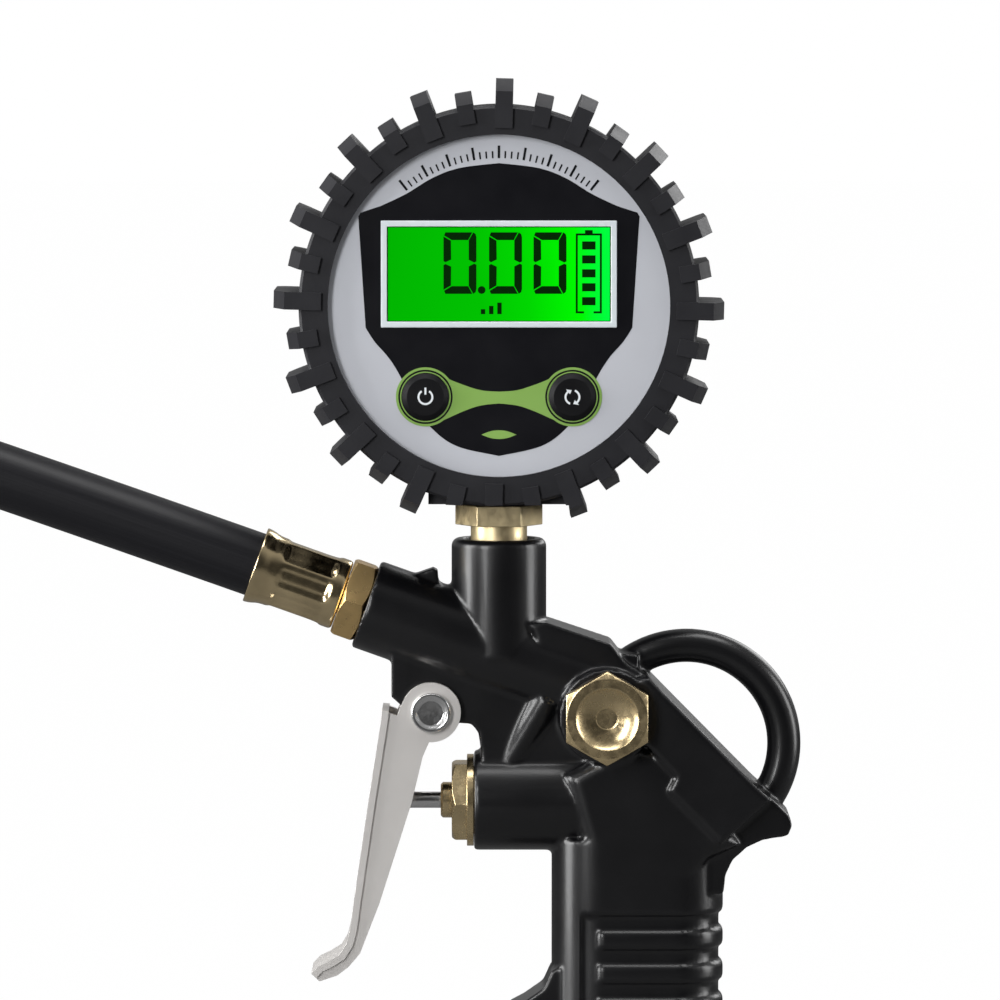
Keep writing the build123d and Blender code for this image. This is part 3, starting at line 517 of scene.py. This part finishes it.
def build_ferrule():
    around = FLUTES * FLUTE_SIDES
    rise = math.radians(BARREL_TURN)
    axis = Vector((math.cos(rise), 0, math.sin(rise)))
    side = Vector((0, 1, 0))
    up = side.cross(axis)
    start = Vector((BARREL_FACE[0], 0, BARREL_FACE[1]))
    mesh = bmesh.new()
    rows = []
    for along, radius, share in ferrule_profile():
        row = []
        for index in range(around):
            turn = 2 * math.pi * index / around
            flute = min(1.0, 1.5 * (0.5 + 0.5 * math.cos(FLUTES * turn)) ** 0.8)
            reach = radius - FLUTE_DEPTH * share * flute
            outward = side * math.cos(turn) + up * math.sin(turn)
            point = start + axis * along + outward * reach
            row.append(mesh.verts.new(point * MM))
        rows.append(row)
    for near, far in zip(rows, rows[1:]):
        for index in range(around):
            other = (index + 1) % around
            mesh.faces.new((near[index], near[other], far[other], far[index]))
    mesh.faces.new(rows[0])
    mesh.faces.new(rows[-1])
    bmesh.ops.recalc_face_normals(mesh, faces=mesh.faces)
    data = bpy.data.meshes.new("crimped_ferrule")
    mesh.to_mesh(data)
    mesh.free()
    piece = new_piece("crimped_ferrule", data, FERRULE_BRASS)
    data.shade_smooth()
    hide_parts("hose_ferrule")


build_ferrule()


# --- valve spring: a copy of the CAD spring in bright steel -------------------------------------

def build_valve_spring():
    node = frame["nodes"]["valve_spring"]
    piece = bpy.data.objects.new("valve_spring_coil", node.data.copy())
    bpy.context.scene.collection.objects.link(piece)
    dress(piece, MATERIALS["steel"])
    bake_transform(piece)
    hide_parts("valve_spring")


build_valve_spring()


# --- printing on the face: thin layers, placed in millimetres from the middle of the face ------

LAYER = 0.03


def printed(name, loops, level, material, body=HOUSING, front=FACE_Y):
    """Flat printing: closed loops of (across, up) points; a loop inside another is a hole."""
    curve = bpy.data.curves.new(name, "CURVE")
    curve.dimensions = "2D"
    curve.fill_mode = "BOTH"
    curve.extrude = LAYER / 2 * MM
    for loop in loops:
        spline = curve.splines.new("POLY")
        spline.points.add(len(loop) - 1)
        spline.use_cyclic_u = True
        for target, (across, up) in zip(spline.points, loop):
            target.co = (across * MM, up * MM, 0, 1)
    shape = bpy.data.objects.new(name, curve)
    bpy.context.scene.collection.objects.link(shape)
    graph = bpy.context.evaluated_depsgraph_get()
    mesh = bpy.data.meshes.new_from_object(shape.evaluated_get(graph))
    bpy.data.objects.remove(shape)
    lift = (level + 0.5) * LAYER * MM
    upright = Matrix.Rotation(math.pi / 2, 4, "X")
    mesh.transform(Matrix.Translation((FACE_CENTRE.x, front - lift, FACE_CENTRE.z)) @ upright)
    return new_piece(name, mesh, material, body)


def polar(centre, radius, degrees):
    """The point at this radius, degrees clockwise from the top."""
    turn = math.radians(degrees)
    return centre[0] + radius * math.sin(turn), centre[1] + radius * math.cos(turn)


def arc(centre, radius, start, end, steps=24):
    return [polar(centre, radius, start + (end - start) * index / steps)
            for index in range(steps + 1)]


def disc(centre, radius):
    return arc(centre, radius, 0, 360, 72)[:-1]


def band(centre, outer, inner, start, end, steps=24):
    """A stretch of a ring."""
    return arc(centre, outer, start, end, steps) + arc(centre, inner, end, start, steps)


def box_loop(low, high):
    return [(low[0], low[1]), (high[0], low[1]), (high[0], high[1]), (low[0], high[1])]


def flipped(points):
    """The points mirrored left to right, in the same order."""
    return [(-across, up) for across, up in points]


def mirrored(half):
    """Closes a left half, listed from the top middle to the bottom middle."""
    return half + flipped(point for point in half[::-1] if point[0] != 0)


def through(points, steps=8):
    """A smooth line through the points (a Catmull-Rom curve)."""
    def weigh(a, b, c, d, t):
        square = (2 * a - 5 * b + 4 * c - d) * t ** 2
        cube = (3 * b - a - 3 * c + d) * t ** 3
        return 0.5 * (2 * b + (c - a) * t + square + cube)

    ends = [points[0], *points, points[-1]]
    line = []
    for four in zip(ends, ends[1:], ends[2:], ends[3:]):
        for step in range(steps):
            line.append(tuple(weigh(*parts, step / steps) for parts in zip(*four)))
    return line + [points[-1]]


BUTTON_REACH = 13.4
BUTTON_UP = -16.6
BUTTONS = [(-BUTTON_REACH, BUTTON_UP), (BUTTON_REACH, BUTTON_UP)]
BUTTON_HOLE = 4.42
DISPLAY_UP = 5.8
FRAME_HALF = (21.3, 9.55)
INK = "button_black"


def display_box(half):
    """A rectangle around the display's middle, given its half width and half height."""
    return box_loop((-half[0], DISPLAY_UP - half[1]), (half[0], DISPLAY_UP + half[1]))


crown = through([(0, 26.0), (-7.2, 25.1), (-12.1, 23.3), (-16.9, 20.4), (-21.5, 18.2)])
shoulder = [(-25.2, 17.0), (-25.6, 16.3)]
flank = through([(-24.3, -4.0), (-22.6, -6.6), (-20.0, -9.6), (-17.8, -13.2), (-15.6, -18.0),
                 (-12.3, -22.3), (-7.7, -25.6), (0, -27.4)])
black_loops = [mirrored(crown + shoulder + flank), display_box(FRAME_HALF)]
black_loops += [disc(place, BUTTON_HOLE) for place in BUTTONS]
printed("face_black", black_loops, 0, PRINT_BLACK)

waist_top = through([(-10.4, -12.4), (-9.2, -13.3), (-6.2, -14.5), (-3.2, -15.4), (0, -15.65)])
waist_low = through([(-11.6, -21.4), (-10.0, -20.8), (-6.4, -19.2), (-3.4, -18.2), (0, -17.8)])
link = waist_top + flipped(waist_top[-2::-1]) + flipped(waist_low) + waist_low[-2::-1]
printed("band_green", [link], 1, PRINT_GREEN)
BUTTON_RINGS = [("surround", 5.4, PRINT_GREEN, None), ("gap", 4.95, PRINT_BLACK, INK),
                ("ring", 4.62, PRINT_GREEN, None)]
for index, place in enumerate(BUTTONS):
    for level, (part, radius, ink, slot) in enumerate(BUTTON_RINGS, start=2):
        printed(f"button_{part}_{index}", [disc(place, radius), disc(place, BUTTON_HOLE)],
                level, ink)

LENS_UP = -23.5
lens_top = through([(-3.2, 0), (-1.6, 0.6), (0, 0.8), (1.6, 0.6), (3.2, 0)])
lens = [(across, LENS_UP + up) for across, up in lens_top]
lens += [(across, LENS_UP - up) for across, up in lens_top[-2:0:-1]]
printed("status_lens", [lens], 1, PRINT_GREEN)

# a plain scale of ticks above the display; each fourth tick is longer and wider
TICK_RADIUS = 26.9
TICK_COUNT = 33
TICK_START = -38.4
TICK_STEP = 2.4
LONG_EVERY = 4
LONG_TICK = (2.3, 0.45)
SHORT_TICK = (1.3, 0.3)
ticks = []
for index in range(TICK_COUNT):
    turn = TICK_START + index * TICK_STEP
    length, half = SHORT_TICK if index % LONG_EVERY else LONG_TICK
    ticks.append(band((0, 0), TICK_RADIUS + length, TICK_RADIUS, turn - half, turn + half, 2))
printed("face_scale", ticks, 0, PRINT_BLACK)


# --- the display's segments ------------------------------------------------------------------

GLASS_FRONT = glass_low.y
DIGIT_WIDTH = 6.0
DIGIT_HEIGHT = 11.2
SEGMENT_WIDTH = 1.4
DIGIT_PLACES = [(-10.1, 2.2), (-1.8, 2.2), (6.3, 2.2)]


def zero(place):
    """A seven-segment zero, its six segments mitred at the corners."""
    w, h, t = DIGIT_WIDTH, DIGIT_HEIGHT, SEGMENT_WIDTH
    top = [(0.35, h), (w - 0.75, h), (w - t - 0.1, h - t), (t + 0.1, h - t), (0.1, h - 0.55)]
    right = [(w - 0.58, h), (w - 0.15, h - 0.3), (w, h - 0.9), (w, h / 2 + 0.3),
             (w - 0.4, h / 2 + 0.1), (w - t, h / 2 + 0.6), (w - t, h - t - 0.05)]
    left = [(0, h - 0.75), (t - 0.05, h - t - 0.12), (t, h / 2 + 0.65), (0.35, h / 2 + 0.15),
            (0, h / 2 + 0.4)]
    upper = [top, right, left]
    lower = [[(across, h - up) for across, up in loop] for loop in upper]
    return [[(place[0] + across, place[1] + up) for across, up in loop]
            for loop in upper + lower]


DECIMAL_POINT = ((-3.15, 2.9), 0.7)
segments = [loop for place in DIGIT_PLACES for loop in zero(place)]
segments.append(disc(*DECIMAL_POINT))

# battery level: an outline open at the foot, with five bars
BATTERY_LOW, BATTERY_HIGH = (14.0, -1.35), (18.75, 13.2)
LINE = 0.36
FOOT_REACH = 1.5
CAP_HALF = 0.7
CAP_RISE = 0.6
BAR_COUNT = 5
BAR_FIRST = 0.85
BAR_STEP = 2.54
BAR_HALF = (1.22, 0.74)
left, right = BATTERY_LOW[0], BATTERY_HIGH[0]
foot, brow = BATTERY_LOW[1], BATTERY_HIGH[1]
middle = (left + right) / 2
segments.append([
    (left, foot), (left + FOOT_REACH, foot), (left + FOOT_REACH, foot + LINE),
    (left + LINE, foot + LINE), (left + LINE, brow - LINE), (right - LINE, brow - LINE),
    (right - LINE, foot + LINE), (right - FOOT_REACH, foot + LINE), (right - FOOT_REACH, foot),
    (right, foot), (right, brow), (middle + CAP_HALF, brow), (middle + CAP_HALF, brow + CAP_RISE),
    (middle - CAP_HALF, brow + CAP_RISE), (middle - CAP_HALF, brow), (left, brow)])
for index in range(BAR_COUNT):
    level = BAR_FIRST + index * BAR_STEP
    segments.append(box_loop((middle - BAR_HALF[0], level - BAR_HALF[1]),
                             (middle + BAR_HALF[0], level + BAR_HALF[1])))

# three small bars where the unit is shown
UNIT_LOW, UNIT_HIGH = (-3.3, -1.5), (-2.5, -0.6)
UNIT_STEP = 1.5
UNIT_RISE = 0.6
for index in range(3):
    across, up = index * UNIT_STEP, index * UNIT_RISE
    segments.append(box_loop((UNIT_LOW[0] + across, UNIT_LOW[1]),
                             (UNIT_HIGH[0] + across, UNIT_HIGH[1] + up)))
printed("display_segments", segments, 0, SEGMENT, front=GLASS_FRONT)

EDGE_IN, EDGE_OUT = (20.2, 8.5), (20.5, 8.75)
printed("display_edge", [display_box(EDGE_OUT), display_box(EDGE_IN)], 0, SEGMENT,
        front=GLASS_FRONT)


# --- signs on the two buttons -----------------------------------------------------------------

CAP_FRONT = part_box("power_button")[0].y
SIGN_OUTER, SIGN_INNER = 1.45, 1.08
POWER_GAP = 32
STROKE = ((-0.18, 0.45), (0.18, 1.75))
CYCLE_STARTS = (20, 200)
CYCLE_TURN = 120
HEAD_TURN = 34
HEAD_OUTER, HEAD_TIP, HEAD_INNER = 1.85, 1.27, 0.68


power, function = BUTTONS
stroke = box_loop(*[(power[0] + across, power[1] + up) for across, up in STROKE])
power_sign = [band(power, SIGN_OUTER, SIGN_INNER, POWER_GAP, 360 - POWER_GAP, 36), stroke]
printed("power_sign", power_sign, 0, PRINT_WHITE,
        NODE_BODY["power_button"], CAP_FRONT)
cycle_sign = []
for start in CYCLE_STARTS:
    end = start + CYCLE_TURN
    cycle_sign.append(band(function, SIGN_OUTER, SIGN_INNER, start, end, 18))
    cycle_sign.append([polar(function, HEAD_OUTER, end), polar(function, HEAD_TIP, end + HEAD_TURN),
                       polar(function, HEAD_INNER, end)])
printed("cycle_sign", cycle_sign, 0, PRINT_WHITE,
        NODE_BODY["function_button"], CAP_FRONT)


# --- stage and light ----------------------------------------------------------------------

BACKGROUND = 1.0
FLOOR_Z = cad_box[0].z - 0.03
FLOOR_REACH = 12.0
FLOOR_SHADES = ((0.14, 0.14, 0.14), (0.15, 0.15, 0.15))
# the camera sees this share of the floor as a plain glow, and the rest shaded by the lights
GLOW_SHARE = 0.96
GLOW_STRENGTH = BACKGROUND * 1.035


def stage_white():
    """A floor that looks pale to the camera but lights the object dimly."""
    n = Nodes("pale_floor")
    cloud = n.noise(n.coordinates(), 3)
    n.set(colour=n.blend_colours(cloud, *FLOOR_SHADES), rough=0.9, specular=0.1)
    glow = n.add("ShaderNodeEmission", Strength=GLOW_STRENGTH)
    path = n.add("ShaderNodeLightPath")
    mix = n.add("ShaderNodeMixShader")
    scale = n.add("ShaderNodeMath", operation="MULTIPLY")
    scale.inputs[1].default_value = GLOW_SHARE
    n.link(path.outputs["Is Camera Ray"], scale.inputs[0])
    n.link(scale.outputs[0], mix.inputs["Fac"])
    n.link(n.shader.outputs["BSDF"], mix.inputs[1])
    n.link(glow.outputs["Emission"], mix.inputs[2])
    n.link(mix.outputs["Shader"], n.tree.nodes["Material Output"].inputs["Surface"])
    return n.material


def build_floor():
    near, far = -FLOOR_REACH, FLOOR_REACH
    corners = [(x, y, FLOOR_Z) for x, y in box_loop((near, near), (far, far))]
    mesh = bpy.data.meshes.new("floor")
    mesh.from_pydata(corners, [], [(0, 1, 2, 3)])
    obj = bpy.data.objects.new("floor", mesh)
    bpy.context.scene.collection.objects.link(obj)
    dress(obj, stage_white())


build_floor()

TARGET = Vector((-0.02, 0, 0.17))
# name: place, size of the rectangle, watts
LIGHTS = {
    "key": ((-0.68, -1.0, 0.5), (0.3, 0.8), 9.5),
    "left side": ((-1.1, -0.18, 0.4), (0.4, 0.9), 13),
    "right side": ((1.1, -0.1, 0.35), (0.4, 0.9), 7),
    "top": ((0.0, -0.15, 1.1), (0.9, 0.4), 6),
    "rim": ((0.5, 0.7, 0.6), (0.6, 0.5), 3),
}
for name, (place, size, power) in LIGHTS.items():
    data = bpy.data.lights.new(name, "AREA")
    data.shape = "RECTANGLE"
    data.size, data.size_y = size
    data.energy = power
    light = bpy.data.objects.new(name, data)
    light.location = place
    light.rotation_euler = (TARGET - Vector(place)).to_track_quat("-Z", "Y").to_euler()
    bpy.context.scene.collection.objects.link(light)


# where the world turns from dim to pale, by the y of the direction, and its two strengths
DIM_UNTIL, PALE_FROM = -0.92, -0.45
DIM, PALE = 0.04, 0.32


def build_world():
    """White to the camera; to the object, dim on the camera's side and paler all around."""
    world = bpy.data.worlds.new("studio")
    world.use_nodes = True
    tree = world.node_tree
    background = tree.nodes["Background"]
    source = tree.nodes.new("ShaderNodeTexCoord")
    split = tree.nodes.new("ShaderNodeSeparateXYZ")
    tree.links.new(source.outputs["Generated"], split.inputs["Vector"])
    front = tree.nodes.new("ShaderNodeMapRange")
    front.interpolation_type = "SMOOTHSTEP"
    front.inputs["From Min"].default_value = DIM_UNTIL
    front.inputs["From Max"].default_value = PALE_FROM
    front.inputs["To Min"].default_value = DIM
    front.inputs["To Max"].default_value = PALE
    tree.links.new(split.outputs["Y"], front.inputs["Value"])
    path = tree.nodes.new("ShaderNodeLightPath")
    mix = tree.nodes.new("ShaderNodeMix")
    mix.data_type = "FLOAT"
    tree.links.new(path.outputs["Is Camera Ray"], mix.inputs["Factor"])
    tree.links.new(front.outputs["Result"], mix.inputs["A"])
    mix.inputs["B"].default_value = BACKGROUND
    tree.links.new(mix.outputs["Result"], background.inputs["Strength"])
    background.inputs["Color"].default_value = (1, 1, 1, 1)
    bpy.context.scene.world = world


build_world()
bpy.context.scene.view_settings.view_transform = "Standard"
